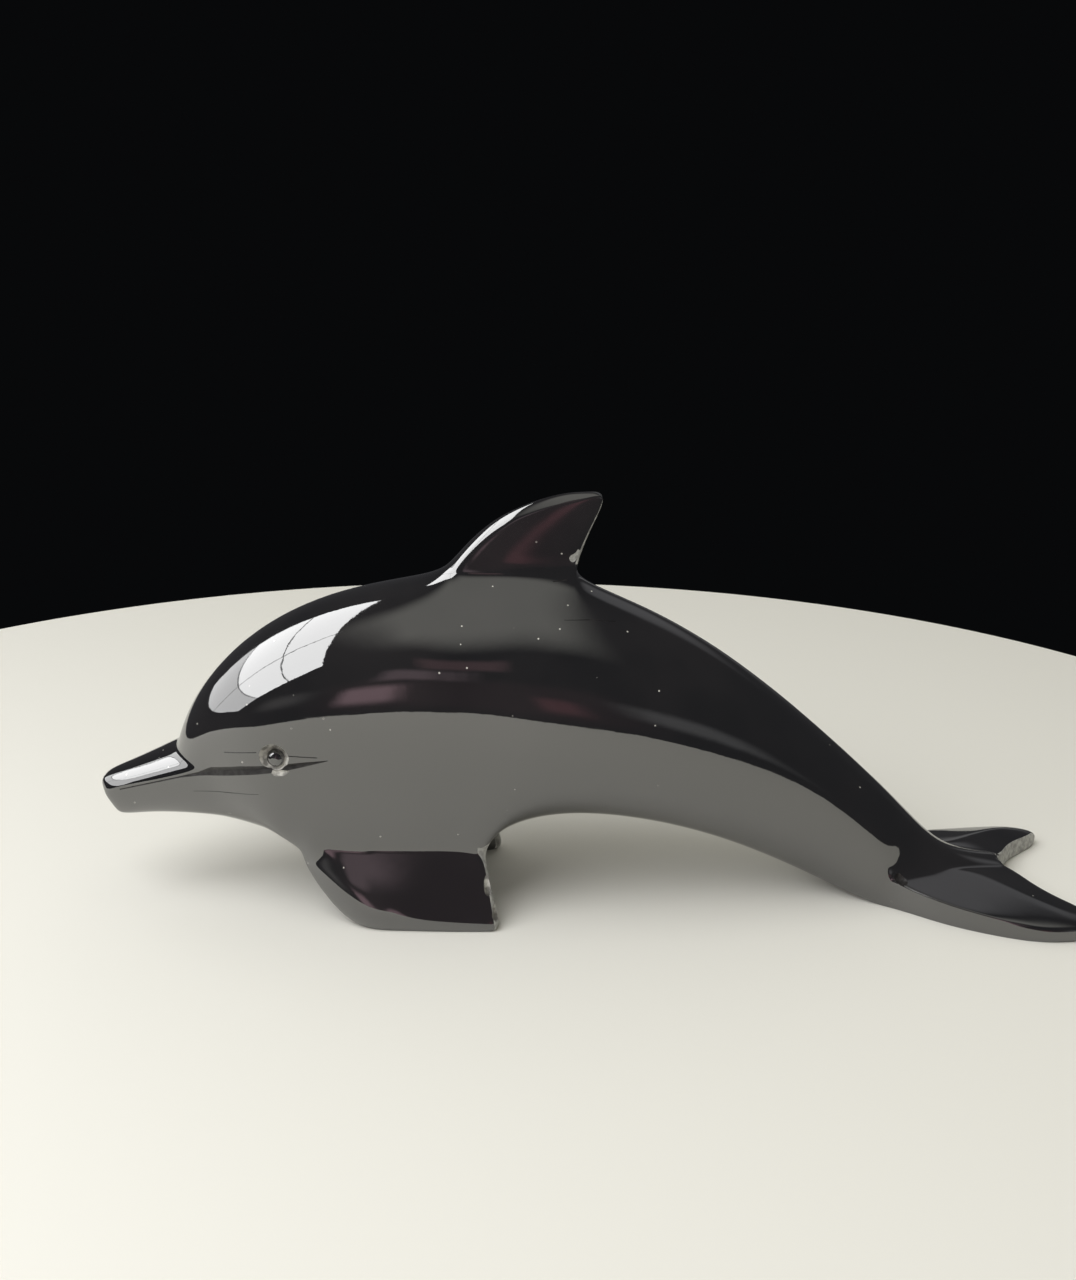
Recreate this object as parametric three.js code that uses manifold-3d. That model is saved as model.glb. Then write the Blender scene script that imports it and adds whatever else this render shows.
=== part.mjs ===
// A polished black onyx dolphin, carved from one block of stone, in millimetres.
// The animal lies along X with its snout at -X and its flukes at +X, Z is up, and the table is Z = 0.
// It stands on the ground-flat tips of its two pectoral fins and on the flat underside of its flukes.
// The form is a coarse cage of four-sided faces, rounded by Catmull-Clark subdivision. The beak,
// melon, body and tail are rings joined in a row, and each fin is drawn out of the cage's own faces.
import * as THREE from 'three';
import Module from 'manifold-3d';
import { mergeVertices } from 'three/addons/utils/BufferGeometryUtils.js';

// Driving dimensions
const length = 124;            // snout tip to fluke tips
const bodyWidth = 26.6;        // at the widest place, between the pectoral fins
const pectoralSpread = 25;     // over the outer faces of the two pectoral fins, near the table
const nearFluke = 14.8;        // reach of the near lobe of the flukes from the middle plane
const farFluke = 12.5;         // reach of the far lobe, cut a little shorter
const dorsalThickness = 5.2;   // of the dorsal fin, near its foot
const eyeRing = 3.3;           // outside diameter of the ring drilled round the eye
const eyeGroove = 0.8;         // width of that ring
const eyeDepth = 0.7;          // below the skin
const mouthWidth = 0.9;        // width of the line cut for the mouth
const mouthDepth = 0.35;       // below the skin

// The pose and the proportions are shares of the length, in hundredths: x from the snout, z from the table.
// What stands on the table is first drawn to a little under it, at z = sunk, and then ground off flat.
const share = length / 100;
const sunk = -0.5;
const place = ([x, z], y = 0) => new THREE.Vector3((x - 50) * share, y, z * share);

// A ring of the cage has twelve corners: 0 on the back's crest, 1 to 5 down the near side, 6 on the belly,
// 7 to 11 up the far side. The rounded skin lies inside its cage, so the rings are drawn a little larger.
const ringCorners = 12;
const swell = 1.045;

// Stations along the body. top, side and bottom are where the ring's crest, widest place and belly are
// [x, z], and half is its half width in hundredths of the body's. crest, shoulder, flank and keel place
// corners 1, 2, 4 and 5: [share of the half width, share of the way from the side to the top or bottom].
const round = { crest: [0.5, 0.87], shoulder: [0.87, 0.5], flank: [0.87, 0.5], keel: [0.5, 0.87] };
const chest = (drop) => ({ flank: [0.66, drop], keel: [0.38, 1.02] });
const stations = [
  { top: [0.4, 12.9], side: [0.6, 12.1], bottom: [1.9, 8.4], half: 21 },      // snout
  { top: [3.8, 14.2], side: [5.6, 13.4], bottom: [6.0, 8.9], half: 34 },
  { top: [8.1, 16.2], side: [12.2, 15.6], bottom: [11.2, 8.7], half: 53 },    // foot of the melon
  { top: [8.8, 18.4], side: [13.0, 17.4], bottom: [13.0, 8.4], half: 61 },
  { top: [10.5, 21.9], side: [14.6, 19.6], bottom: [14.6, 8.0], half: 73 },   // brow
  { top: [14.2, 26.0], side: [17.0, 21.0], bottom: [16.2, 7.6], half: 84, flank: [0.84, 0.6] },
  { top: [18.9, 29.2], side: [20.0, 21.7], bottom: [18.2, 7.1], half: 92, flank: [0.76, 0.8] },   // eye
  { top: [24.0, 31.3], side: [23.2, 22.0], bottom: [20.6, 6.7], half: 97, ...chest(0.87) },   // front of fins
  { top: [28.6, 32.4], side: [28.4, 22.2], bottom: [27.0, 7.2], half: 99, ...chest(0.925) },
  { top: [32.0, 33.0], side: [33.2, 22.3], bottom: [33.4, 7.6], half: 99, ...chest(0.95) },
  { top: [35.2, 33.5], side: [38.0, 22.3], bottom: [38.8, 8.2], half: 99, ...chest(0.99),
    crest: [0.22, 0.96] },                                                      // rear of the fins
  { top: [41.5, 33.9], side: [43.5, 22.0], bottom: [44.2, 8.9], half: 98, crest: [0.22, 0.96] },   // dorsal
  { top: [47.8, 32.7], side: [49.3, 21.2], bottom: [49.8, 9.1], half: 94, crest: [0.22, 0.94] },
  { top: [54.0, 30.3], side: [55.3, 19.8], bottom: [55.6, 8.2], half: 87, crest: [0.24, 0.91] },
  { top: [60.4, 26.9], side: [61.3, 17.6], bottom: [61.3, 6.6], half: 77, crest: [0.27, 0.9] },
  { top: [67.2, 22.0], side: [67.3, 14.9], bottom: [66.8, 4.3], half: 65, crest: [0.3, 0.88] },
  { top: [73.7, 16.4], side: [73.2, 11.0], bottom: [72.0, 1.7], half: 53, crest: [0.36, 0.84] },
  { top: [79.6, 10.8], side: [79.2, 3.6], bottom: [77.0, -0.3], half: 44, crest: [0.4, 0.88],
    shoulder: [0.95, 0.56], flank: [1, 0.5], keel: [0.8, 1] },                  // front of the flukes
  { top: [82.6, 7.6], side: [82.4, 3.0], bottom: [82.0, sunk], half: 36, crest: [0.45, 0.88],
    shoulder: [0.52, 0.5], flank: [1, 0.5], keel: [0.9, 1] },
  { top: [86.4, 3.9], side: [86.6, 3.2], bottom: [86.6, sunk], half: 26, crest: [0.45, 0.85],
    shoulder: [0.75, 0.45], flank: [1, 0.5], keel: [0.9, 1] },
  { top: [91.9, 2.9], side: [92.4, 2.7], bottom: [92.2, sunk], half: 12, crest: [0.5, 1],
    shoulder: [1, 0.6], flank: [1, 0.5], keel: [0.9, 1] },                      // notch
];
const [SNOUT, MELON, FIN_FRONT, FIN_REAR, FLUKE_FRONT] = [0, 2, 7, 10, 17];

// The cage
const points = [];
const faces = [];
const creases = new Map();
const edgeKey = (a, b) => (a < b ? `${a}_${b}` : `${b}_${a}`);
const addPoint = (v) => points.push(v.clone()) - 1;
const crease = (corners, sharpness) => {
  for (let n = 1; n < corners.length; n++) creases.set(edgeKey(corners[n - 1], corners[n]), sharpness);
};

function ring(station) {
  const s = { ...round, ...station };
  const side = place(s.side);
  const up = place(s.top).sub(side);
  const down = place(s.bottom).sub(side);
  const half = (s.half / 100) * (bodyWidth / 2);
  const nearSide = [[0, up, 1], [s.crest[0], up, s.crest[1]], [s.shoulder[0], up, s.shoulder[1]], [1, up, 0],
    [s.flank[0], down, s.flank[1]], [s.keel[0], down, s.keel[1]], [0, down, 1]];
  const corners = [];
  for (let k = 0; k < ringCorners; k++) {
    const near = k <= 6;
    const [across, arm, reach] = nearSide[near ? k : ringCorners - k];
    const corner = side.clone().addScaledVector(arm, reach * swell);
    corner.y = (near ? -1 : 1) * across * half * swell;
    corners.push(addPoint(corner));
  }
  return corners;
}

const rings = stations.map(ring);
const faceAt = new Map();
for (let i = 0; i + 1 < rings.length; i++) {
  for (let k = 0; k < ringCorners; k++) {
    const next = (k + 1) % ringCorners;
    faceAt.set(`${i}_${k}`, faces.length);
    faces.push([rings[i][k], rings[i][next], rings[i + 1][next], rings[i + 1][k]]);
  }
}

function cap(loop, middle, flip) {
  const hub = addPoint(middle);
  for (let k = 0; k < ringCorners; k += 2) {
    const quad = [hub, loop[k], loop[(k + 1) % ringCorners], loop[(k + 2) % ringCorners]];
    faces.push(flip ? quad.reverse() : quad);
  }
}
cap(rings[SNOUT], place([-0.3, 11.9]), true);
cap(rings.at(-1), place([92.8, 1.5]), false);

// Crisp lines of the body: the foot of the melon, the lips, the chin, and the two edges of the crest
crease([9, 10, 11, 0, 1, 2, 3].map((k) => rings[MELON][k]), 2);
crease([3, 4, 5, 6, 7, 8, 9].map((k) => rings[SNOUT][k]), 1.2);
for (const k of [3, 9]) crease(rings.slice(SNOUT, MELON + 1).map((loop) => loop[k]), 3);
for (const k of [1, 11]) crease(rings.slice(FIN_REAR + 2, FLUKE_FRONT + 2).map((loop) => loop[k]), 2.5);
for (const steep of [[1, 2, 3], [9, 10, 11]]) crease(steep.map((k) => rings[FLUKE_FRONT][k]), 1.2);
crease([9, 10, 11, 0, 1, 2, 3].map((k) => rings.at(-1)[k]), 2.5);

// Draws a patch of faces out of the cage: its corners are doubled, the patch moves to the new ones, and a
// wall of new faces joins its rim to where it was. corners says which corner of the fin each one is, as
// [how far along, how far across], and row places the new ones. Returns the same for the new corners.
function drawOut(patch, corners, row) {
  const twin = new Map();
  const rim = new Map();
  for (const f of patch) {
    faces[f].forEach((a, n) => {
      const b = faces[f][(n + 1) % 4];
      if (rim.has(`${b}_${a}`)) rim.delete(`${b}_${a}`);
      else rim.set(`${a}_${b}`, [a, b]);
      if (!twin.has(a)) twin.set(a, addPoint(row(...corners.get(a))));
    });
  }
  for (const f of patch) faces[f] = faces[f].map((a) => twin.get(a));
  for (const [a, b] of rim.values()) faces.push([a, b, twin.get(b), twin.get(a)]);
  return new Map([...twin].map(([a, b]) => [b, corners.get(a)]));
}

const cornerAt = (corners, along, across) => [...corners]
  .find(([, spot]) => spot[0] === along && spot[1] === across)[0];

// Dorsal fin, drawn out of the four faces of the crest: along 0 is its front, 2 its rear, across 0 its
// middle plane. A row gives its leading edge [x, z], then the corner of the blunt nose, the edge where the
// flat side starts and the trailing edge [x, z, share of the fin's half thickness].
const dorsalRows = [
  { lead: [36.4, 35.8], nose: [36.8, 35.5, 0.88], edge: [40.2, 34.6, 1], trail: [47.9, 34.6, 0.42] },
  { lead: [40.0, 39.6], nose: [40.55, 39.05, 0.68], edge: [43.9, 38.0, 0.74], trail: [49.0, 37.7, 0.34] },
  { lead: [45.9, 41.9], nose: [46.7, 40.8, 0.46], edge: [48.7, 41.0, 0.42], trail: [51.1, 41.75, 0.22] },
];
const flatSide = (spot, across) => place(spot, across * spot[2] * (dorsalThickness / 2));
let dorsal = new Map();
const dorsalFaces = [];
for (let n = 0; n <= 2; n++) {
  [11, 0, 1].forEach((k, m) => dorsal.set(rings[FIN_REAR + n][k], [n, 1 - m]));
  if (n < 2) dorsalFaces.push(faceAt.get(`${FIN_REAR + n}_11`), faceAt.get(`${FIN_REAR + n}_0`));
}
const dorsalLine = (across) => [0, 1, 2].map((n) => cornerAt(dorsal, n, across));
const dorsalLines = { [-1]: [dorsalLine(-1)], 1: [dorsalLine(1)] };
for (const { lead, nose, edge, trail } of dorsalRows) {
  dorsal = drawOut(dorsalFaces, dorsal, (along, across) => {
    if (across) return flatSide([nose, edge, trail][along], across);
    return place(lead).lerp(place(trail), along / 2);
  });
  for (const across of [-1, 1]) dorsalLines[across].push(dorsalLine(across));
}
for (const across of [-1, 1]) {
  const [foot, low, high, top] = dorsalLines[across];
  crease(foot, 1);
  crease(low.slice(1), 1);
  crease(top, 2.5);
  crease([foot[0], low[0], high[0]], 1.3);
  crease([high[0], top[0]], 2.2);
  crease([foot[2], low[2], high[2], top[2]], 2.5);
}

// Pectoral fins, each drawn out of three faces of the flank. A row gives its outer and its inner face by
// three spots from front to rear [x, z], and how far out its front and rear stand, of half the spread.
// The outer face is flat from the body to the second row, where its bevel starts, so the first has none.
const outerFirst = 0.35;       // the first row's share of the way from the body to the second
const pectoralRows = [
  { inner: [[19.4, 6.2], [30.0, 5.6], [39.2, 5.8]], innerReach: [0.58, 0.6] },
  { outer: [[26.0, 3.3], [30.4, 0.9], [40.0, 0.85]], outerReach: [1, 1],
    inner: [[21.2, 3.0], [30.5, 2.5], [40.6, 2.2]], innerReach: [0.68, 0.74] },
  { outer: [[26.8, sunk], [33.0, sunk], [40.2, sunk]], outerReach: [0.96, 0.98],
    inner: [[25.0, sunk], [33.0, sunk], [41.2, sunk]], innerReach: [0.7, 0.8] },
];
function pectoralSpot(spots, reach, along, hand) {
  const at = new THREE.QuadraticBezierCurve3(...spots.map((xz) => place(xz))).getPoint(along / 3);
  at.y = hand * THREE.MathUtils.lerp(...reach, along / 3) * (pectoralSpread / 2);
  return at;
}
for (const hand of [-1, 1]) {
  const [outer, inner, column] = hand < 0 ? [4, 5, 4] : [8, 7, 7];
  let pectoral = new Map();
  const patch = [];
  for (let n = 0; n <= 3; n++) {
    pectoral.set(rings[FIN_FRONT + n][outer], [n, 1]);
    pectoral.set(rings[FIN_FRONT + n][inner], [n, -1]);
    if (n < 3) patch.push(faceAt.get(`${FIN_FRONT + n}_${column}`));
  }
  const outerLine = () => [0, 1, 2, 3].map((n) => cornerAt(pectoral, n, 1));
  const outerLines = [outerLine()];
  const bevel = pectoralRows[1];
  for (const spot of pectoralRows) {
    pectoral = drawOut(patch, pectoral, (along, across) => {
      if (across < 0) return pectoralSpot(spot.inner, spot.innerReach, along, hand);
      if (spot.outer) return pectoralSpot(spot.outer, spot.outerReach, along, hand);
      const foot = points[rings[FIN_FRONT + along][outer]].clone();
      return foot.lerp(pectoralSpot(bevel.outer, bevel.outerReach, along, hand), outerFirst);
    });
    outerLines.push(outerLine());
  }
  const [foot, , bevelLine] = outerLines;
  crease(foot.slice(0, 2), 2);
  crease(foot.slice(1), 3);
  crease(bevelLine.slice(1), 2.5);
  crease(outerLines.map((line) => line[3]), 2.5);
}

// Flukes, each drawn out of six faces low on the tail's side. A row gives the top of its leading edge, a
// spot behind that, its ridge and its trailing edge: [x, z, share of the lobe's reach].
const flukeRows = [
  [[80.2, 2.9, 0.48], [83.4, 2.85, 0.4], [88.2, 3.3, 0.3], [93.2, 2.6, 0.22]],
  [[84.4, 2.3, 0.78], [87.0, 2.4, 0.72], [91.2, 2.95, 0.6], [95.0, 2.2, 0.56]],
  [[91.0, 1.7, 1.02], [93.8, 1.8, 1.06], [97.0, 2.1, 1.04], [100.4, 1.5, 0.95]],
];
for (const [hand, lobe] of [[-1, nearFluke], [1, farFluke]]) {
  const columns = hand < 0 ? [3, 4] : [7, 8];
  const [high, middle, low] = hand < 0 ? [3, 4, 5] : [9, 8, 7];
  let fluke = new Map();
  const patch = [];
  for (let n = 0; n <= 3; n++) {
    fluke.set(rings[FLUKE_FRONT + n][high], [n, 1]);
    fluke.set(rings[FLUKE_FRONT + n][middle], [n, 0]);
    fluke.set(rings[FLUKE_FRONT + n][low], [n, -1]);
    if (n < 3) patch.push(...columns.map((k) => faceAt.get(`${FLUKE_FRONT + n}_${k}`)));
  }
  const edges = [0, 1, 2, 3].map((n) => [cornerAt(fluke, n, 1)]);
  for (const spots of flukeRows) {
    fluke = drawOut(patch, fluke, (along, across) => {
      const [x, z, reach] = spots[along];
      const height = [sunk, z / 2, z][across + 1];
      return place([x, height], hand * reach * lobe);
    });
    edges.forEach((edge, n) => edge.push(cornerAt(fluke, n, 1)));
  }
  crease(edges[0], 2.5);
  crease(edges[2], 1.8);
  crease(edges[3], 2.5);
}

// Catmull-Clark subdivision with creases. Returns a pass's new points: one for each face, edge and corner.
function pass(cage) {
  const edges = new Map();
  const middles = cage.faces.map((f) => f
    .reduce((sum, a) => sum.add(cage.points[a]), new THREE.Vector3())
    .divideScalar(f.length));
  cage.faces.forEach((f, n) => f.forEach((a, j) => {
    const b = f[(j + 1) % f.length];
    const key = edgeKey(a, b);
    if (!edges.has(key)) edges.set(key, { a, b, sides: [], sharp: cage.creases.get(key) ?? 0 });
    edges.get(key).sides.push(n);
  }));
  const around = cage.points.map(() => ({ edges: [], faces: new Set() }));
  for (const e of edges.values()) {
    for (const a of [e.a, e.b]) {
      around[a].edges.push(e);
      e.sides.forEach((n) => around[a].faces.add(n));
    }
    const [left, right] = e.sides.map((n) => middles[n]);
    e.mid = cage.points[e.a].clone().add(cage.points[e.b]).multiplyScalar(0.5);
    e.point = left.clone().add(right).multiplyScalar(0.5).lerp(e.mid, 0.5).lerp(e.mid, Math.min(e.sharp, 1));
  }
  const corners = cage.points.map((p, a) => {
    const n = around[a].edges.length;
    const faceMean = [...around[a].faces]
      .reduce((sum, f) => sum.add(middles[f]), new THREE.Vector3()).divideScalar(n);
    const edgeMean = around[a].edges
      .reduce((sum, e) => sum.add(e.mid), new THREE.Vector3()).divideScalar(n);
    const smooth = faceMean.addScaledVector(edgeMean, 2).addScaledVector(p, n - 3).divideScalar(n);
    const sharp = around[a].edges.filter((e) => e.sharp > 0);
    if (sharp.length < 2) return smooth;
    const firm = sharp.length > 2
      ? p.clone()
      : sharp.reduce((sum, e) => sum.add(e.mid), new THREE.Vector3()).addScaledVector(p, 2).divideScalar(4);
    const hold = sharp.reduce((sum, e) => sum + e.sharp, 0) / sharp.length;
    return smooth.lerp(firm, Math.min(hold, 1));
  });
  return { middles, edges, corners };
}

function subdivide(cage) {
  const { middles, edges, corners } = pass(cage);
  const next = { points: [...corners, ...middles], faces: [], creases: new Map() };
  for (const e of edges.values()) {
    e.index = next.points.push(e.point) - 1;
    if (e.sharp > 1) {
      next.creases.set(edgeKey(e.a, e.index), e.sharp - 1);
      next.creases.set(edgeKey(e.b, e.index), e.sharp - 1);
    }
  }
  cage.faces.forEach((f, n) => f.forEach((a, j) => {
    const after = edges.get(edgeKey(a, f[(j + 1) % f.length])).index;
    const before = edges.get(edgeKey(a, f[(j + f.length - 1) % f.length])).index;
    next.faces.push([a, after, corners.length + n, before]);
  }));
  return next;
}

// The skin: one full pass, then each face is split in four about its middle, at the next pass's points.
function skin(cage) {
  const finer = subdivide(cage);
  const { middles, corners } = pass(finer);
  const all = [...corners, ...middles];
  const positions = [];
  finer.faces.forEach((f, n) => f.forEach((a, j) => {
    for (const i of [a, f[(j + 1) % 4], corners.length + n]) positions.push(...all[i]);
  }));
  const geometry = new THREE.BufferGeometry();
  geometry.setAttribute('position', new THREE.Float32BufferAttribute(positions, 3));
  return mergeVertices(geometry, 1e-5);
}

const wasm = await Module();
wasm.setup();

function solidOf(geometry) {
  const bare = geometry.clone();
  for (const name of Object.keys(bare.attributes)) if (name !== 'position') bare.deleteAttribute(name);
  const merged = mergeVertices(bare, 1e-5);
  return new wasm.Manifold(new wasm.Mesh({
    numProp: 3,
    vertProperties: new Float32Array(merged.attributes.position.array),
    triVerts: new Uint32Array(merged.index.array),
  }));
}

function geometryOf(solid) {
  const mesh = solid.getMesh();
  const geometry = new THREE.BufferGeometry();
  geometry.setAttribute('position', new THREE.Float32BufferAttribute(mesh.vertProperties, 3));
  geometry.setIndex(Array.from(mesh.triVerts));
  geometry.computeVertexNormals();
  return geometry;
}

const cage = { points, faces, creases };
const stone = skin(cage);
const table = new THREE.BoxGeometry(length * 2, length, length);
table.translate(0, 0, -length / 2);
let body = solidOf(stone).subtract(solidOf(table));

// Where the skin is, seen square on from one side of the animal, at [x, z]
const skinMesh = new THREE.Mesh(stone);
function onSkin([x, z], hand) {
  const from = place([x, z], hand * length);
  const hit = new THREE.Raycaster(from, new THREE.Vector3(0, -hand, 0)).intersectObject(skinMesh)[0];
  return hit.point;
}

// The eyes: a ring bored square into each side of the head, which leaves a round boss standing inside it
const eye = [19.2, 18.05];
function eyeCut(hand) {
  const outer = eyeRing / 2;
  const inner = outer - eyeGroove;
  const top = eyeDepth + eyeRing;
  const profile = [[inner, 0], [outer, 0], [outer, top], [inner, top], [inner, 0]];
  const ringCut = new THREE.LatheGeometry(profile.map(([r, y]) => new THREE.Vector2(r, y)), 24);
  ringCut.rotateX(hand < 0 ? Math.PI : 0);
  const at = onSkin(eye, hand);
  ringCut.translate(at.x, at.y - hand * eyeDepth, at.z);
  return solidOf(ringCut);
}

// The mouth: a line cut from under the snout's tip, back along the lips and past the eye
const mouthLine = [
  [2.4, 12.1], [5.8, 13.2], [9.2, 14.4], [12.6, 15.4], [16, 16.2], [19.4, 16.9], [23.6, 17.9],
];
function mouthCut(hand) {
  const route = new THREE.CatmullRomCurve3(mouthLine.map((xz) => onSkin(xz, hand)));
  const outline = new THREE.Shape().absellipse(0, 0, mouthDepth, mouthWidth / 2, 0, Math.PI * 2);
  return solidOf(new THREE.ExtrudeGeometry(outline, {
    extrudePath: route, steps: 28, curveSegments: 4, bevelEnabled: false,
  }));
}
for (const hand of [-1, 1]) body = body.subtract(eyeCut(hand)).subtract(mouthCut(hand));

const onyx = new THREE.MeshStandardMaterial({ color: 0x0c0c0e, roughness: 0.06, metalness: 0 });
const shape = geometryOf(body);
shape.computeBoundingBox();
const middle = shape.boundingBox.getCenter(new THREE.Vector3());
shape.translate(-middle.x, -middle.y, 0);   // the origin is on the table, under the middle of the carving
const dolphin = new THREE.Mesh(shape, onyx);
dolphin.name = 'dolphin';

const carving = new THREE.Group();
carving.add(dolphin);
export default carving;
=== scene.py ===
# A dolphin carved from black onyx and polished all over, standing on its pectoral fins and its flukes.
# The animal lies along X with its snout at -X. Lengths are in metres, and the ground is Z = 0.
import bmesh
import bpy
import math
from mathutils import Euler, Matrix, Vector, noise
from mathutils.bvhtree import BVHTree


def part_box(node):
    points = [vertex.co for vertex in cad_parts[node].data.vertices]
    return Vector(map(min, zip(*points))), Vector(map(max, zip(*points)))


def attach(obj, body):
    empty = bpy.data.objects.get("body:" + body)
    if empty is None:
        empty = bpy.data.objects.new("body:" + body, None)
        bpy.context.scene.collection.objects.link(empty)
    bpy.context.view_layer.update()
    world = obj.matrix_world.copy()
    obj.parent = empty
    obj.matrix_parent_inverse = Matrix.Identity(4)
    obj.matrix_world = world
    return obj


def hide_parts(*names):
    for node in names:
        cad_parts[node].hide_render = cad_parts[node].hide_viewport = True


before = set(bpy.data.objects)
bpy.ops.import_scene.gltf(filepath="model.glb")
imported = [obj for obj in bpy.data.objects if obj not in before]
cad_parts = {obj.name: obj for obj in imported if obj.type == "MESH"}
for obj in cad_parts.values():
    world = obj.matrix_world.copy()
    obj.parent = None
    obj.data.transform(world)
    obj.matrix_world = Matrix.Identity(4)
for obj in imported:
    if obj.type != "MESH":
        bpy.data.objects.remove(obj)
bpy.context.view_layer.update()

# Camera
# A near view from the animal's left side and a little above it. Its length runs across the whole frame,
# and the tip of the near fluke just leaves it.
camera = bpy.data.objects.new("camera", bpy.data.cameras.new("camera"))
camera.data.sensor_fit = "VERTICAL"
camera.data.sensor_height = 36.0
camera.data.lens = 40.8
camera.data.clip_start = 0.01
camera.location = (-0.00818, -0.1674, 0.0870)
camera.rotation_euler = Euler((math.radians(90 - 17.7), 0, math.radians(-0.5)))
bpy.context.collection.objects.link(camera)
bpy.context.scene.camera = camera

# The carving
# One block of onyx, roughed out with a saw and ground to shape, then polished. Its form is a cage of
# four-sided faces: rings along the body, and fins drawn out of the cage's own faces. The surface that
# the cage rounds to is cut off flat where it meets the ground.
LENGTH = 0.124               # from the snout's tip to the flukes' tips
BODY_WIDTH = 0.0266          # at the widest place, between the pectoral fins
PECTORAL_SPREAD = 0.025      # over the outer faces of the two pectoral fins
NEAR_FLUKE = 0.0148          # reach of the near lobe from the middle plane
FAR_FLUKE = 0.0125           # reach of the far lobe, cut a little shorter
DORSAL_THICKNESS = 0.0052    # near the dorsal fin's foot
SHARE = LENGTH / 100
SUNK = -0.5                  # what stands on the ground is drawn down to here, and then cut off flat
RING_CORNERS = 12
SWELL = 1.045                # the rounded skin lies inside its cage, so the rings are drawn a little larger


def place(x, z, y=0.0):
    """A point from its shares of the length, in hundredths: x from the snout, z from the ground."""
    return Vector(((x - 50) * SHARE, y, z * SHARE))


# Where a ring's corners lie: (share of the half width, share of the way from the side to the top or bottom)
ROUND = {"crest": (0.5, 0.87), "shoulder": (0.87, 0.5), "flank": (0.87, 0.5), "keel": (0.5, 0.87)}


def chest(flank_drop):
    """The corners of a full chest, whose flank drops to where the pectoral fins start."""
    return {"flank": (0.66, flank_drop), "keel": (0.38, 1.02)}


# Stations along the body: a ring's crest, widest place and belly as (x, z), and its half width in hundredths
STATIONS = [
    dict(top=(0.4, 12.9), side=(0.6, 12.1), bottom=(1.9, 8.4), half=21),
    dict(top=(3.8, 14.2), side=(5.6, 13.4), bottom=(6.0, 8.9), half=34),
    dict(top=(8.1, 16.2), side=(12.2, 15.6), bottom=(11.2, 8.7), half=53),
    dict(top=(8.8, 18.4), side=(13.0, 17.4), bottom=(13.0, 8.4), half=61),
    dict(top=(10.5, 21.9), side=(14.6, 19.6), bottom=(14.6, 8.0), half=73),
    dict(top=(14.2, 26.0), side=(17.0, 21.0), bottom=(16.2, 7.6), half=84, flank=(0.84, 0.6)),
    dict(top=(18.9, 29.2), side=(20.0, 21.7), bottom=(18.2, 7.1), half=92, flank=(0.76, 0.8)),
    dict(top=(24.0, 31.3), side=(23.2, 22.0), bottom=(20.6, 6.7), half=97, **chest(0.87)),
    dict(top=(28.6, 32.4), side=(28.4, 22.2), bottom=(27.0, 7.2), half=99, **chest(0.925)),
    dict(top=(32.0, 33.0), side=(33.2, 22.3), bottom=(33.4, 7.6), half=99, **chest(0.95)),
    dict(top=(35.2, 33.5), side=(38.0, 22.3), bottom=(38.8, 8.2), half=99, crest=(0.22, 0.96),
         **chest(0.99)),
    dict(top=(41.5, 33.9), side=(43.5, 22.0), bottom=(44.2, 8.9), half=98, crest=(0.22, 0.96)),
    dict(top=(47.8, 32.7), side=(49.3, 21.2), bottom=(49.8, 9.1), half=94, crest=(0.22, 0.94)),
    dict(top=(54.0, 30.3), side=(55.3, 19.8), bottom=(55.6, 8.2), half=87, crest=(0.24, 0.91)),
    dict(top=(60.4, 26.9), side=(61.3, 17.6), bottom=(61.3, 6.6), half=77, crest=(0.27, 0.9)),
    dict(top=(67.2, 22.0), side=(67.3, 14.9), bottom=(66.8, 4.3), half=65, crest=(0.3, 0.88)),
    dict(top=(73.7, 16.4), side=(73.2, 11.0), bottom=(72.0, 1.7), half=53, crest=(0.36, 0.84)),
    dict(top=(79.6, 10.8), side=(79.2, 3.6), bottom=(77.0, -0.3), half=44, crest=(0.4, 0.88),
         shoulder=(0.95, 0.56), flank=(1, 0.5), keel=(0.8, 1)),
    dict(top=(82.6, 7.6), side=(82.4, 3.0), bottom=(82.0, SUNK), half=36, crest=(0.45, 0.88),
         shoulder=(0.52, 0.5), flank=(1, 0.5), keel=(0.9, 1)),
    dict(top=(86.4, 3.9), side=(86.6, 3.2), bottom=(86.6, SUNK), half=26, crest=(0.45, 0.85),
         shoulder=(0.75, 0.45), flank=(1, 0.5), keel=(0.9, 1)),
    dict(top=(91.9, 2.9), side=(92.4, 2.7), bottom=(92.2, SUNK), half=12, crest=(0.5, 1),
         shoulder=(1, 0.6), flank=(1, 0.5), keel=(0.9, 1)),
]
SNOUT, MELON, FIN_FRONT, FIN_REAR, FLUKE_FRONT, NOTCH = 0, 2, 7, 10, 17, 20

cage = bmesh.new()
station_of = cage.verts.layers.int.new("station")
corner_of = cage.verts.layers.int.new("corner")
row_of = cage.verts.layers.int.new("row")
crease_of = cage.edges.layers.float.new("crease_edge")


def ring_corner(number, corner):
    """Where a ring's corner lies.

    Corner 0 is on the crest, 1 to 5 go down the near side, 6 is on the belly and 7 to 11 go up the far side.
    """
    station = {**ROUND, **STATIONS[number]}
    side = place(*station["side"])
    up = place(*station["top"]) - side
    down = place(*station["bottom"]) - side
    near_side = [(0, up, 1), (station["crest"][0], up, station["crest"][1]),
                 (station["shoulder"][0], up, station["shoulder"][1]), (1, up, 0),
                 (station["flank"][0], down, station["flank"][1]),
                 (station["keel"][0], down, station["keel"][1]), (0, down, 1)]
    near = corner <= 6
    across, arm, reach = near_side[corner if near else RING_CORNERS - corner]
    point = side + arm * reach * SWELL
    point.y = (-1 if near else 1) * across * station["half"] / 100 * BODY_WIDTH / 2 * SWELL
    return point


def verts_in(geometry):
    return [item for item in geometry if isinstance(item, bmesh.types.BMVert)]


def faces_in(geometry):
    return [item for item in geometry if isinstance(item, bmesh.types.BMFace)]


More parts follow.
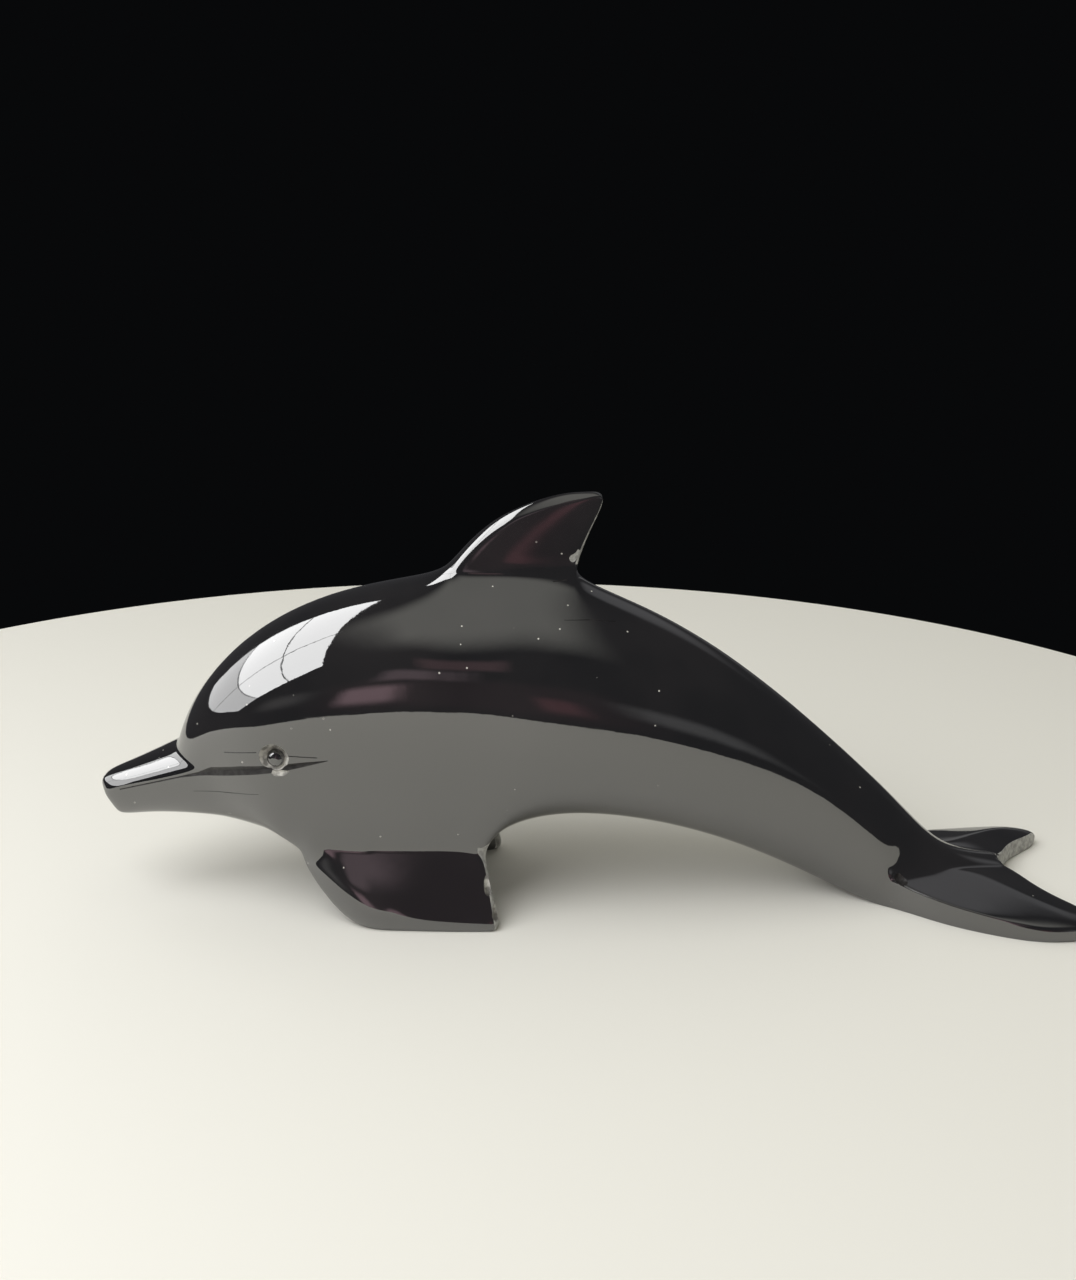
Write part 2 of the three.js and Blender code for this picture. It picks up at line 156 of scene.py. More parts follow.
loop_verts = bmesh.ops.create_circle(cage, segments=RING_CORNERS, radius=BODY_WIDTH / 2)["verts"]
for corner, vert in enumerate(loop_verts):
    vert[corner_of] = corner
    vert.co = ring_corner(SNOUT, corner)
loop_edges = list(cage.edges)
snout_edges = loop_edges
for number in range(SNOUT + 1, len(STATIONS)):
    drawn = bmesh.ops.extrude_edge_only(cage, edges=loop_edges)["geom"]
    for vert in verts_in(drawn):
        vert[station_of] = number
        vert.co = ring_corner(number, vert[corner_of])
    new_verts = set(verts_in(drawn))
    loop_edges = [edge for edge in cage.edges if set(edge.verts) <= new_verts]


def cap(edges, middle):
    """Closes an open end with six four-sided faces round a middle point."""
    lid = bmesh.ops.contextual_create(cage, geom=edges)["faces"]
    hub = bmesh.ops.poke(cage, faces=lid)["verts"][0]
    hub.co = middle
    hub[corner_of] = -1
    spokes = [edge for edge in hub.link_edges if edge.other_vert(hub)[corner_of] % 2]
    bmesh.ops.dissolve_edges(cage, edges=spokes)


cap(snout_edges, place(-0.3, 11.9))
cap(loop_edges, place(92.8, 1.5))


def lies_in(vert, stations, corners, rows):
    return vert[station_of] in stations and vert[corner_of] in corners and vert[row_of] in rows


def patch(stations, corners):
    """The faces of the body whose vertices all lie at these stations and corners."""
    return [face for face in cage.faces if all(lies_in(vert, stations, corners, (0,)) for vert in face.verts)]


def crease(sharpness, stations, corners, rows=(0,)):
    """Makes the edges between these vertices crisp, with a sharpness from 0, round, to 10, hard."""
    for edge in cage.edges:
        if all(lies_in(vert, stations, corners, rows) for vert in edge.verts):
            # The rounding squares what it reads here, and takes 1 for a sharpness of 10
            edge[crease_of] = math.sqrt(sharpness / 10)


def draw_out(faces, row, spot):
    """Draws a patch of faces out of the cage, and moves each new vertex to spot(station, corner)."""
    drawn = bmesh.ops.extrude_face_region(cage, geom=faces)["geom"]
    bmesh.ops.delete(cage, geom=faces, context="FACES")
    for vert in verts_in(drawn):
        vert[row_of] = row
        vert.co = spot(vert[station_of], vert[corner_of])
    return faces_in(drawn)


# Crisp lines of the body: the foot of the melon, the chin, the lips, the two edges of the crest, the tail
UPPER = (9, 10, 11, 0, 1, 2, 3)
LOWER = (3, 4, 5, 6, 7, 8, 9)
crease(2, (MELON,), UPPER)
crease(1.2, (SNOUT,), LOWER)
for corner in (3, 9):
    crease(3, range(SNOUT, MELON + 1), (corner,))
for corner in (1, 11):
    crease(2.5, range(FIN_REAR + 2, FLUKE_FRONT + 2), (corner,))
crease(1.2, (FLUKE_FRONT,), (1, 2, 3))
crease(1.2, (FLUKE_FRONT,), (9, 10, 11))
crease(2.5, (NOTCH,), UPPER)

# Dorsal fin: a blunt nose, an edge where the flat side starts, and a narrow sawn trailing face. Each row,
# from the foot up to the tip, gives its points as (x, z, share of half the thickness).
DORSAL_ROWS = [
    dict(lead=(36.4, 35.8), nose=(36.8, 35.5, 0.88), edge=(40.2, 34.6, 1), trail=(47.9, 34.6, 0.42)),
    dict(lead=(40.0, 39.6), nose=(40.55, 39.05, 0.68), edge=(43.9, 38.0, 0.74), trail=(49.0, 37.7, 0.34)),
    dict(lead=(45.9, 41.9), nose=(46.7, 40.8, 0.46), edge=(48.7, 41.0, 0.42), trail=(51.1, 41.75, 0.22)),
]
DORSAL_STATIONS = (FIN_REAR, FIN_REAR + 1, FIN_REAR + 2)


def dorsal_spot(row, station, corner):
    along = station - FIN_REAR
    if corner == 0:
        return place(*row["lead"]).lerp(place(*row["trail"][:2]), along / 2)
    x, z, share = row[("nose", "edge", "trail")[along]]
    return place(x, z, (-1 if corner == 1 else 1) * share * DORSAL_THICKNESS / 2)


faces = patch(DORSAL_STATIONS, (11, 0, 1))
for number, row in enumerate(DORSAL_ROWS, start=1):
    faces = draw_out(faces, number, lambda station, corner: dorsal_spot(row, station, corner))
for corner in (1, 11):
    crease(1, DORSAL_STATIONS, (corner,))
    crease(1, DORSAL_STATIONS[1:], (corner,), (1,))
    crease(2.5, DORSAL_STATIONS, (corner,), (3,))
    crease(1.3, (FIN_REAR,), (corner,), (0, 1, 2))
    crease(2.2, (FIN_REAR,), (corner,), (2, 3))
    crease(2.5, (FIN_REAR + 2,), (corner,), (0, 1, 2, 3))

# Pectoral fins: flat outside faces with a bevel ground round their lower edge. Each row, going down, gives
# the front, bend and rear of a face as (x, z), and its reach at the two ends as shares of half the spread.
PECTORAL_ROWS = [
    dict(outer=None, inner=[(19.4, 6.2), (30.0, 5.6), (39.2, 5.8)], inner_reach=(0.58, 0.6)),
    dict(outer=[(26.0, 3.3), (30.4, 0.9), (40.0, 0.85)], outer_reach=(1, 1),
         inner=[(21.2, 3.0), (30.5, 2.5), (40.6, 2.2)], inner_reach=(0.68, 0.74)),
    dict(outer=[(26.8, SUNK), (33.0, SUNK), (40.2, SUNK)], outer_reach=(0.96, 0.98),
         inner=[(25.0, SUNK), (33.0, SUNK), (41.2, SUNK)], inner_reach=(0.7, 0.8)),
]
PECTORAL_STATIONS = range(FIN_FRONT, FIN_REAR + 1)
PECTORAL_ROOT = 0.35         # the first outer row lies this share of the way from the flank to the next row


def pectoral_spot(row, hand, face, station):
    along = (station - FIN_FRONT) / 3
    if row[face] is None:
        root = ring_corner(station, 4 if hand < 0 else 8)
        return root.lerp(pectoral_spot(PECTORAL_ROWS[1], hand, face, station), PECTORAL_ROOT)
    start, bend, end = (place(*spot) for spot in row[face])
    point = start.lerp(bend, along).lerp(bend.lerp(end, along), along)
    front, rear = row[face + "_reach"]
    point.y = hand * (front + (rear - front) * along) * PECTORAL_SPREAD / 2
    return point


for hand, outer, inner in ((-1, 4, 5), (1, 8, 7)):
    faces = patch(PECTORAL_STATIONS, (outer, inner))
    for number, row in enumerate(PECTORAL_ROWS, start=1):
        faces = draw_out(faces, number, lambda station, corner: pectoral_spot(
            row, hand, "outer" if corner == outer else "inner", station))
    crease(3, PECTORAL_STATIONS[1:], (outer,))
    crease(2, PECTORAL_STATIONS[:2], (outer,))
    crease(2.5, PECTORAL_STATIONS[1:], (outer,), (2,))
    crease(2.5, (FIN_REAR,), (outer,), (0, 1, 2, 3))

# Flukes: two lobes, each with a ground bevel along its front, a low ridge and a sawn trailing edge. Each row,
# going out to the tip, gives its points from front to rear as (x, z, share of the lobe's reach).
FLUKE_ROWS = [
    [(80.2, 2.9, 0.48), (83.4, 2.85, 0.4), (88.2, 3.3, 0.3), (93.2, 2.6, 0.22)],
    [(84.4, 2.3, 0.78), (87.0, 2.4, 0.72), (91.2, 2.95, 0.6), (95.0, 2.2, 0.56)],
    [(91.0, 1.7, 1.02), (93.8, 1.8, 1.06), (97.0, 2.1, 1.04), (100.4, 1.5, 0.95)],
]
FLUKE_STATIONS = range(FLUKE_FRONT, NOTCH + 1)
for hand, lobe, (high, middle, low) in ((-1, NEAR_FLUKE, (3, 4, 5)), (1, FAR_FLUKE, (9, 8, 7))):
    faces = patch(FLUKE_STATIONS, (high, middle, low))
    for number, row in enumerate(FLUKE_ROWS, start=1):
        def fluke_spot(station, corner):
            x, z, reach = row[station - FLUKE_FRONT]
            height = {high: z, middle: z / 2, low: SUNK}[corner]
            return place(x, height, hand * reach * lobe)
        faces = draw_out(faces, number, fluke_spot)
    crease(2.5, (FLUKE_FRONT,), (high,), range(4))
    crease(1.8, (FLUKE_FRONT + 2,), (high,), range(4))
    crease(2.5, (NOTCH,), (high,), range(4))

# The stone's finishes, as slots of its mesh. The trailing faces of the fins and flukes keep the saw's finish.
FINISHES = ("polished", "ground", "broken", "scored")
POLISHED, GROUND, BROKEN, SCORED = range(len(FINISHES))
for face in cage.faces:
    ends = {v[station_of] for v in face.verts}
    rows = {v[row_of] for v in face.verts}
    sides = {v[corner_of] for v in face.verts}
    dorsal_end = ends == {FIN_REAR + 2} and sides <= {11, 0, 1} and 0 not in rows
    pectoral_end = ends == {FIN_REAR} and len(rows) == 2 and (sides == {4, 5} or sides == {7, 8})
    fluke_end = ends == {NOTCH} and len(rows) == 2
    if dorsal_end or pectoral_end or fluke_end:
        face.material_index = GROUND

bmesh.ops.recalc_face_normals(cage, faces=cage.faces)


def object_from(name, mesh_source):
    mesh = bpy.data.meshes.new(name)
    mesh_source.to_mesh(mesh)
    mesh_source.free()
    made = bpy.data.objects.new(name, mesh)
    bpy.context.collection.objects.link(made)
    return made


def finished_mesh(source):
    """The mesh that an object's modifiers give."""
    graph = bpy.context.evaluated_depsgraph_get()
    return bpy.data.meshes.new_from_object(source.evaluated_get(graph), depsgraph=graph)


ROUNDING = 4
caged = object_from("cage", cage)
rounding = caged.modifiers.new("rounding", "SUBSURF")
rounding.levels = ROUNDING
rounding.render_levels = ROUNDING
smooth_mesh = finished_mesh(caged)
bpy.data.objects.remove(caged)

stone = bmesh.new()
stone.from_mesh(smooth_mesh)

# Hand polishing leaves the faces very slightly uneven, and always a little under the cage's true surface
UNEVENNESS = 0.000014
for vert in stone.verts:
    ripple = noise.noise(vert.co * 150) + 0.35 * noise.noise(vert.co * 420)
    vert.co -= vert.normal * UNEVENNESS * (1.35 + ripple)

# The soles are ground flat at Z = 0
everything = list(stone.verts) + list(stone.edges) + list(stone.faces)
rim = bmesh.ops.bisect_plane(stone, geom=everything, dist=1e-7, plane_co=(0, 0, 0), plane_no=(0, 0, 1),
                             clear_inner=True)["geom_cut"]
for sole in bmesh.ops.holes_fill(stone, edges=[e for e in rim if isinstance(e, bmesh.types.BMEdge)])["faces"]:
    sole.material_index = GROUND
skin = BVHTree.FromBMesh(stone)


def on_skin(x, z, hand):
    """Where the skin is and how it faces, seen square on from one side."""
    return skin.ray_cast(place(x, z, hand * LENGTH), Vector((0, -hand, 0)))[:2]


cutters = []

# Eyes: a bowl ground round a boss, which keeps its polished dome. The drill leaned up a little. The cutter's
# profile is (radius, height over the skin), from the top of the boss down, and then up the bowl's wall.
EYE = (19.25, 18.05)
EYE_LEAN = 0.3
BOSS_RADIUS = 0.00108
BOSS_RISE = 0.0009
ABOVE_SKIN = 0.0009
BOWL = [(0.00118, -0.00088), (0.0015, -0.0006), (0.00182, 0.0), (0.0019, ABOVE_SKIN), (0, ABOVE_SKIN)]
DOME = [(BOSS_RADIUS * math.sin(turn), 0.00005 - BOSS_RISE * (1 - math.cos(turn)))
        for turn in (0.0, 0.4, 0.75, 1.05, 1.3, 1.5)]
for hand in (-1, 1):
    spot, facing = on_skin(*EYE, hand)
    facing = (facing + Vector((0, 0, EYE_LEAN))).normalized()
    bowl = bmesh.new()
    corners = [bowl.verts.new((radius, 0, height)) for radius, height in DOME + BOWL]
    line = [bowl.edges.new(pair) for pair in zip(corners, corners[1:])]
    bmesh.ops.spin(bowl, geom=corners + line, cent=(0, 0, 0), axis=(0, 0, 1), angle=math.tau, steps=48,
                   use_merge=True)
    bmesh.ops.remove_doubles(bowl, verts=bowl.verts, dist=1e-6)
    for face in bowl.faces:
        middle = face.calc_center_median()
        domed = math.hypot(middle.x, middle.y) < BOSS_RADIUS and middle.z < ABOVE_SKIN / 2
        face.material_index = POLISHED if domed else BROKEN
    bmesh.ops.recalc_face_normals(bowl, faces=bowl.faces)
    bmesh.ops.rotate(bowl, verts=bowl.verts, matrix=facing.to_track_quat("Z", "Y").to_matrix())
    bmesh.ops.translate(bowl, verts=bowl.verts, vec=spot)
    cutters.append(bowl)

# Grooves follow the skin in small steps from stop to stop, and their cutter stands a little out of it
GROOVE_STEPS = (0, 0.15, 0.3, 0.45, 0.6, 0.75, 0.9)
GROOVE_CLEARANCE = 0.0004


def groove(route, hand, finish):
    """A V-shaped cutter along the skin. Each stop is (x, z, width, depth), the last two in millimetres."""
    cutter = bmesh.new()
    stops = []
    for (x0, z0, w0, d0), (x1, z1, w1, d1) in zip(route, route[1:]):
        stops += [(x0 + (x1 - x0) * t, z0 + (z1 - z0) * t, w0 + (w1 - w0) * t, d0 + (d1 - d0) * t)
                  for t in GROOVE_STEPS]
    stops.append(route[-1])
    section = cutter.verts.layers.int.new("section")
    verts = bmesh.ops.create_circle(cutter, segments=4, radius=1, cap_ends=True)["verts"]
    for n, vert in enumerate(verts):
        vert[section] = n
    rim_edges = list(cutter.edges)
    for number, (x, z, width, depth) in enumerate(stops):
        at, out = on_skin(x, z, hand)
        before, after = stops[max(number - 1, 0)], stops[min(number + 1, len(stops) - 1)]
        along = (on_skin(*after[:2], hand)[0] - on_skin(*before[:2], hand)[0]).normalized()
        across = out.cross(along).normalized()
        spots = (at - out * depth / 1000, at + across * width / 2000,
                 at + out * GROOVE_CLEARANCE, at - across * width / 2000)
        if number:
            drawn = bmesh.ops.extrude_edge_only(cutter, edges=rim_edges)["geom"]
            ring = set(verts_in(drawn))
            rim_edges = [edge for edge in cutter.edges if set(edge.verts) <= ring]
        else:
            ring = verts
        for vert in ring:
            vert.co = spots[vert[section]]
    bmesh.ops.contextual_create(cutter, geom=rim_edges)
    bmesh.ops.recalc_face_normals(cutter, faces=cutter.faces)
    for face in cutter.faces:
        face.material_index = finish
    return cutter


# The mouth is cut along the lips and past the eye, deepest below the eye
MOUTH = [
    (2.6, 12.2, 0.16, 0.06), (9.2, 14.4, 0.2, 0.07), (11.2, 15.0, 0.5, 0.12), (12.8, 15.6, 1.2, 0.24),
    (16, 16.4, 1.25, 0.28), (19.4, 17.0, 1.0, 0.3), (21.6, 17.45, 0.7, 0.2), (24.4, 18.0, 0.08, 0.03),
]
for hand in (-1, 1):
    cutters.append(groove(MOUTH, hand, SCORED))

# A nick under the near eye
NICK = [(18.7, 17.0, 0.3, 0.1), (19.3, 16.6, 1.1, 0.3), (20.0, 16.6, 0.9, 0.25), (20.6, 16.8, 0.2, 0.08)]
cutters.append(groove(NICK, -1, BROKEN))

# Hairlines where the saw or the wheel slipped. A line of three stops runs out thin at both ends.
HAIRLINE_WIDTH, HAIRLINE_END, HAIRLINE_DEPTH = 0.12, 0.05, 0.05
HAIRLINES = (
    ((14.3, 18.1), (17.6, 18.6)), ((18.9, 18.5), (23.4, 18.3)), ((10.4, 12.9), (14.3, 13.4), (17.4, 13.9)),
    ((46.6, 30.4), (49.2, 30.2), (51.6, 29.8)), ((45.6, 33.3), (47.0, 33.4)),
)
for line in HAIRLINES:
    tapered = len(line) > 2
    widths = [HAIRLINE_END if tapered and stop in (line[0], line[-1]) else HAIRLINE_WIDTH for stop in line]
    cutters.append(groove([(*stop, width, HAIRLINE_DEPTH) for stop, width in zip(line, widths)], -1, SCORED))

# Chips: ragged breaks on the trailing corners of the near pectoral fin and of the dorsal fin. Each is a
# finish, where its middle lies and its half lengths, in millimetres.
CHIPS = (
    (BROKEN, (-13.4, -10.7, 5.9), (0.5, 0.6, 3.0)), (BROKEN, (-12.5, -11.3, 2.0), (0.7, 0.8, 1.3)),
    (GROUND, (-2.5, -2.0, 44.3), (1.75, 1.03, 1.95)),
)
CHIP_RAGGEDNESS = 0.00025
for finish, middle, half_lengths in CHIPS:
    chip = bmesh.new()
    bmesh.ops.create_icosphere(chip, subdivisions=4, radius=0.001)
    for vert in chip.verts:
        vert.co += vert.normal * CHIP_RAGGEDNESS * noise.noise(vert.co * 1100 + Vector(middle))
    bmesh.ops.scale(chip, verts=chip.verts, vec=half_lengths)
    bmesh.ops.translate(chip, verts=chip.verts, vec=Vector(middle) / 1000)
    for face in chip.faces:
        face.material_index = finish
    cutters.append(chip)

# A round pit left by the burr at the root of the near fluke
PIT_MIDDLE = (0.03785, -0.0070, 0.0045)
PIT_RADIUS = 0.00105
pit = bmesh.new()
bmesh.ops.create_uvsphere(pit, u_segments=32, v_segments=24, radius=PIT_RADIUS)
bmesh.ops.translate(pit, verts=pit.verts, vec=PIT_MIDDLE)
for face in pit.faces:
    face.material_index = SCORED
cutters.append(pit)

# All the cuts are taken from the stone, and each leaves its own finish on its walls
blank = object_from("blank", stone)
used = []
for number, cutter in enumerate(cutters):
    tool = object_from(f"cutter {number}", cutter)
    used.append(tool)
    cut = blank.modifiers.new(tool.name, "BOOLEAN")
    cut.operation = "DIFFERENCE"
    cut.solver = "MANIFOLD"
    cut.material_mode = "INDEX"
    cut.object = tool
for obj in [blank] + used:
    for name in FINISHES:
        obj.data.materials.append(bpy.data.materials.get(name) or bpy.data.materials.new(name))
cut_mesh = finished_mesh(blank)
for obj in [blank] + used:
    bpy.data.objects.remove(obj)
stone = bmesh.new()
stone.from_mesh(cut_mesh)

# The frame's solid and this finer one share their middle, on the ground under the carving
lows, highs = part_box("dolphin")
for axis in (0, 1):
    values = [vert.co[axis] for vert in stone.verts]
    shift = Vector()
    shift[axis] = (lows[axis] + highs[axis]) / 2 - (min(values) + max(values)) / 2
    bmesh.ops.translate(stone, verts=stone.verts, vec=shift)

# The cuts can leave a vertex of the soles a hair under the ground
for vert in stone.verts:
    vert.co.z = max(vert.co.z, 0)
bmesh.ops.recalc_face_normals(stone, faces=stone.faces)

# An edge is crisp where the stone turns sharply, or where two finishes meet at an angle
SHARP_TURN = math.radians(32)
TURN_BETWEEN_FINISHES = math.radians(4)
for face in stone.faces:
    face.smooth = True
for edge in stone.edges:
    one_finish = len({face.material_index for face in edge.link_faces}) == 1
    turn = edge.calc_face_angle(0)
    edge.smooth = turn < SHARP_TURN and (one_finish or turn < TURN_BETWEEN_FINISHES)

dolphin = object_from("onyx_dolphin", stone)
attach(dolphin, "root")
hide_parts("dolphin")

# Polished onyx: nearly black, with faint clouds in the stone, dust in its pores and smears on the polish
STONE_BLACK = (0.0035, 0.0035, 0.004)
STONE_CLOUD = (0.010, 0.009, 0.0095)
PORE_DUST = (0.55, 0.54, 0.5)
STONE_INDEX = 2.42           # set for how strongly the polish mirrors
for name in FINISHES:
    dolphin.data.materials.append(bpy.data.materials[name])
onyx = bpy.data.materials["polished"]
onyx.use_nodes = True
nodes = onyx.node_tree.nodes
links = onyx.node_tree.links
shader = nodes["Principled BSDF"]
shader.inputs["IOR"].default_value = STONE_INDEX
where = nodes.new("ShaderNodeTexCoord").outputs["Object"]


def noise_of(nodes, links, where, scale, detail=3.0):
    texture = nodes.new("ShaderNodeTexNoise")
    texture.inputs["Scale"].default_value = scale
    texture.inputs["Detail"].default_value = detail
    links.new(where, texture.inputs["Vector"])
    return texture.outputs[0]


def spread(nodes, links, value, low, high, to_low, to_high):
    """Spreads the part of a value between low and high over a new range."""
    ramp = nodes.new("ShaderNodeMapRange")
    ramp.interpolation_type = "SMOOTHSTEP"
    for slot, number in zip(("From Min", "From Max", "To Min", "To Max"), (low, high, to_low, to_high)):
        ramp.inputs[slot].default_value = number
    links.new(value, ramp.inputs["Value"])
    return ramp.outputs[0]


def blend(nodes, links, factor, first, second):
    mix = nodes.new("ShaderNodeMix")
    mix.data_type = "RGBA"
    links.new(factor, mix.inputs["Factor"])
    for slot, colour in zip((mix.inputs[6], mix.inputs[7]), (first, second)):
        if isinstance(colour, tuple):
            slot.default_value = (*colour, 1)
        else:
            links.new(colour, slot)
    return mix.outputs[2]


# The textures' scales are in cells per metre
clouds = spread(nodes, links, noise_of(nodes, links, where, 70), 0.35, 0.7, 0, 1)
pores = nodes.new("ShaderNodeTexVoronoi")
pores.inputs["Scale"].default_value = 420
links.new(where, pores.inputs["Vector"])
dot = spread(nodes, links, pores.outputs["Distance"], 0.035, 0.06, 1, 0)
some = spread(nodes, links, noise_of(nodes, links, where, 110), 0.42, 0.5, 0, 1)
dust = nodes.new("ShaderNodeMath")
dust.operation = "MULTIPLY"
links.new(dot, dust.inputs[0])
links.new(some, dust.inputs[1])
clouded = blend(nodes, links, clouds, STONE_BLACK, STONE_CLOUD)
links.new(blend(nodes, links, dust.outputs[0], clouded, PORE_DUST), shader.inputs["Base Color"])
smears = spread(nodes, links, noise_of(nodes, links, where, 160, 6), 0.35, 0.75, 0.018, 0.07)
links.new(smears, shader.inputs["Roughness"])
bump = nodes.new("ShaderNodeBump")
bump.inputs["Strength"].default_value = 0.05
bump.inputs["Distance"].default_value = 0.0001
links.new(noise_of(nodes, links, where, 900, 4), bump.inputs["Height"])
links.new(bump.outputs[0], shader.inputs["Normal"])

# The same stone unpolished: grey where it is ground or sawn, whitish where it broke, and dark where a tool
# scored it. Each is a finish, its darker and its lighter colour, and its roughness.
DULL = (
    ("ground", (0.22, 0.22, 0.21), (0.42, 0.42, 0.4), 0.5),
    ("broken", (0.2, 0.195, 0.185), (0.55, 0.54, 0.51), 0.6),
    ("scored", (0.012, 0.011, 0.011), (0.03, 0.028, 0.028), 0.45),
)
for name, dark, light, rough in DULL:
    dull = bpy.data.materials[name]
    dull.use_nodes = True
    nodes = dull.node_tree.nodes
    links = dull.node_tree.links
    shader = nodes["Principled BSDF"]
    where = nodes.new("ShaderNodeTexCoord").outputs["Object"]
    grit = noise_of(nodes, links, where, 1400, 6)
    links.new(blend(nodes, links, spread(nodes, links, grit, 0.35, 0.65, 0, 1), dark, light),
              shader.inputs["Base Color"])
    shader.inputs["Roughness"].default_value = rough
    bump = nodes.new("ShaderNodeBump")
    bump.inputs["Strength"].default_value = 0.5
    bump.inputs["Distance"].default_value = 0.0001
    links.new(noise_of(nodes, links, where, 3500, 5), bump.inputs["Height"])
    links.new(bump.outputs[0], shader.inputs["Normal"])

# The ground
# A plain pale sheet of matt board, cut to a broad oval. It is a little warm in colour, and it lies right
# under the soles.
FLOOR_REACH = (0.138, 0.122)
FLOOR_MIDDLE = (-0.018, 0.026)
BOARD_COLOUR = (0.79, 0.78, 0.735)
floor_mesh = bmesh.new()
bmesh.ops.create_circle(floor_mesh, cap_ends=True, segments=256, radius=1)
bmesh.ops.scale(floor_mesh, verts=floor_mesh.verts, vec=(*FLOOR_REACH, 1))
bmesh.ops.translate(floor_mesh, verts=floor_mesh.verts, vec=(*FLOOR_MIDDLE, 0))
floor = object_from("floor", floor_mesh)
board = bpy.data.materials.new("pale board")
board.use_nodes = True
board_shader = board.node_tree.nodes["Principled BSDF"]
board_shader.inputs["Base Color"].default_value = (*BOARD_COLOUR, 1)
board_shader.inputs["Roughness"].default_value = 0.6
floor.data.materials.append(board)

# Lights
# Soft panels stand round the carving, and its polish mirrors them: bright soft boxes past the snout, a broad
# dim one overhead, and dim cards in front, at the side and behind. The fill lights the stone and the ground,
# and isn't mirrored.
MIDDLE_HEIGHT = Vector((0, 0, 0.025))


def panel(name, azimuth, elevation, distance, size, radiance, color=(1, 1, 1), shown=True, lit=True,
          soft=0.0, offset=(0, 0)):
    """A panel that faces the carving. Azimuth 0 is in front, at -Y, and 90 at its tail, +X.

    shown panels are mirrored and lit ones light matt things. soft is the share of the panel over which it
    fades out at each side, and offset moves it in its own plane.
    """
    light = bpy.data.lights.new(name, "AREA")
    light.shape = "RECTANGLE"
    light.size, light.size_y = size
    light.energy = radiance * math.pi * size[0] * size[1]    # the power that gives it this radiance
    light.color = color
    lamp = bpy.data.objects.new(name, light)
    turn, rise = math.radians(azimuth), math.radians(elevation)
    towards = Vector((math.sin(turn) * math.cos(rise), -math.cos(turn) * math.cos(rise), math.sin(rise)))
    facing = towards.to_track_quat("Z", "Y")
    lamp.location = towards * distance + MIDDLE_HEIGHT + facing @ Vector((*offset, 0))
    lamp.rotation_euler = facing.to_euler()
    lamp.visible_glossy = shown
    lamp.visible_diffuse = lit
    lamp.visible_camera = False
    bpy.context.collection.objects.link(lamp)
    if soft:
        light.use_nodes = True
        tree = light.node_tree
        emission = tree.nodes["Emission"]
        place_on = tree.nodes.new("ShaderNodeNewGeometry")
        split = tree.nodes.new("ShaderNodeSeparateXYZ")
        tree.links.new(place_on.outputs["Parametric"], split.inputs[0])
        fades = []
        for axis in (0, 1):
            centre = tree.nodes.new("ShaderNodeMath")
            centre.operation = "SUBTRACT"
            centre.inputs[1].default_value = 0.5
            tree.links.new(split.outputs[axis], centre.inputs[0])
            away = tree.nodes.new("ShaderNodeMath")
            away.operation = "ABSOLUTE"
            tree.links.new(centre.outputs[0], away.inputs[0])
            fade = tree.nodes.new("ShaderNodeMapRange")
            fade.interpolation_type = "SMOOTHSTEP"
            fade.inputs["From Min"].default_value = 0.5
            fade.inputs["From Max"].default_value = 0.5 - soft
            tree.links.new(away.outputs[0], fade.inputs["Value"])
            fades.append(fade)
        both = tree.nodes.new("ShaderNodeMath")
        both.operation = "MULTIPLY"
        for n, fade in enumerate(fades):
            tree.links.new(fade.outputs[0], both.inputs[n])
        tree.links.new(both.outputs[0], emission.inputs["Strength"])


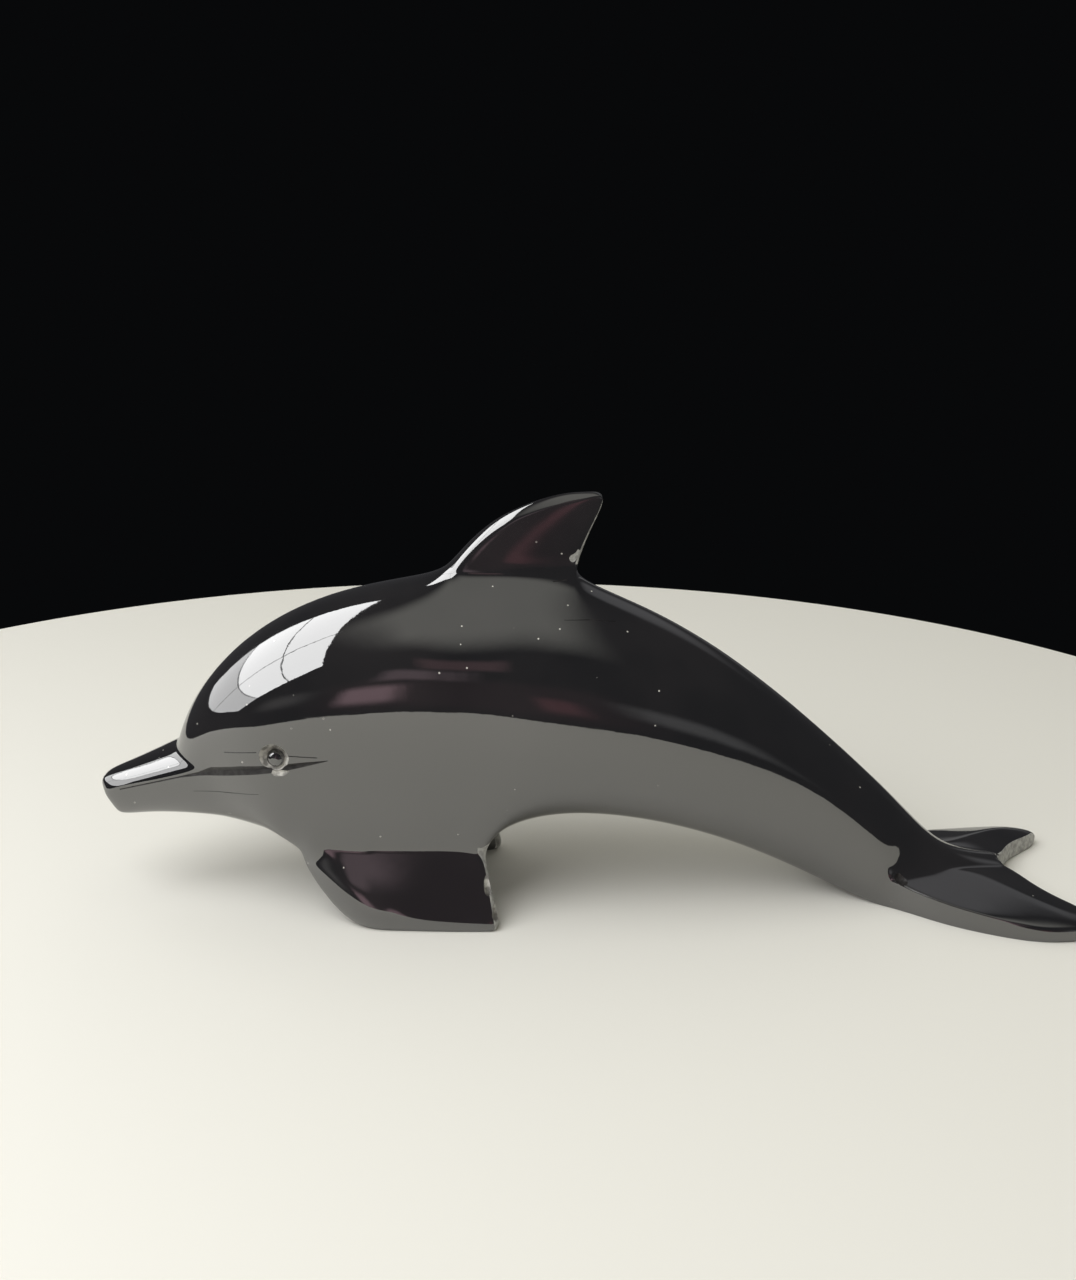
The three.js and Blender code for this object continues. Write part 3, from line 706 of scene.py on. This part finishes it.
# Six soft boxes past the snout, in two columns and three rows with dark strips between them
for column in (-0.5, 0.5):
    for row, radiance in ((-1, 2.3), (0, 4.2), (1, 4.2)):
        panel("soft box", -98, 35, 0.5, (0.36, 0.163), radiance, lit=False,
              offset=(0.365 * column, 0.168 * row))
panel("ceiling", 20, 87, 0.6, (0.72, 0.7), 0.42, (1, 0.99, 0.9), soft=0.35)
panel("back card", 155, 38, 0.6, (0.6, 0.44), 0.2, (0.97, 0.97, 1), soft=0.35)
panel("low back card", 162, 6, 0.6, (0.5, 0.1), 0.2, soft=0.4)
panel("side card", 38, 6, 0.5, (0.34, 0.2), 0.17, soft=0.4)
panel("front card", 2, 4, 0.5, (0.6, 0.46), 0.03, (1, 0.5, 0.56), soft=0.3)
panel("grey card", -38, 8, 0.5, (0.3, 0.22), 0.13, (1, 0.96, 0.93), soft=0.45)
panel("upper rosy card", -1, 42, 0.5, (0.11, 0.16), 0.16, (1, 0.55, 0.6), soft=0.35)
panel("middle rosy card", -9, 27, 0.5, (0.14, 0.17), 0.26, (1, 0.72, 0.8), soft=0.35)
panel("lower rosy card", -13, 3, 0.5, (0.12, 0.26), 0.5, (1, 0.66, 0.74), soft=0.35)
panel("red card", 11, 0, 0.5, (0.13, 0.2), 0.15, (1, 0.35, 0.42), soft=0.4)
panel("fill", -50, 48, 0.45, (0.4, 0.4), 4.1, shown=False)

# The surroundings are nearly black to the camera, a little lighter in the polish, and pale for matt things
BEHIND = (0.0025, 0.0027, 0.003, 1)
IN_THE_POLISH = (0.058, 0.058, 0.062, 1)
ON_MATT_THINGS = (0.37, 0.36, 0.315, 1)
world = bpy.data.worlds.new("dim surroundings")
world.use_nodes = True
world_tree = world.node_tree
background = world_tree.nodes["Background"]
background.inputs["Color"].default_value = IN_THE_POLISH
behind = world_tree.nodes.new("ShaderNodeBackground")
behind.inputs["Color"].default_value = BEHIND
around = world_tree.nodes.new("ShaderNodeBackground")
around.inputs["Color"].default_value = ON_MATT_THINGS
seen = world_tree.nodes.new("ShaderNodeLightPath")
shader_in = background.outputs[0]
for rays, backdrop in (("Is Diffuse Ray", around), ("Is Camera Ray", behind)):
    pick = world_tree.nodes.new("ShaderNodeMixShader")
    world_tree.links.new(seen.outputs[rays], pick.inputs[0])
    world_tree.links.new(shader_in, pick.inputs[1])
    world_tree.links.new(backdrop.outputs[0], pick.inputs[2])
    shader_in = pick.outputs[0]
world_tree.links.new(shader_in, world_tree.nodes["World Output"].inputs["Surface"])
bpy.context.scene.world = world
bpy.context.scene.view_settings.view_transform = "Standard"
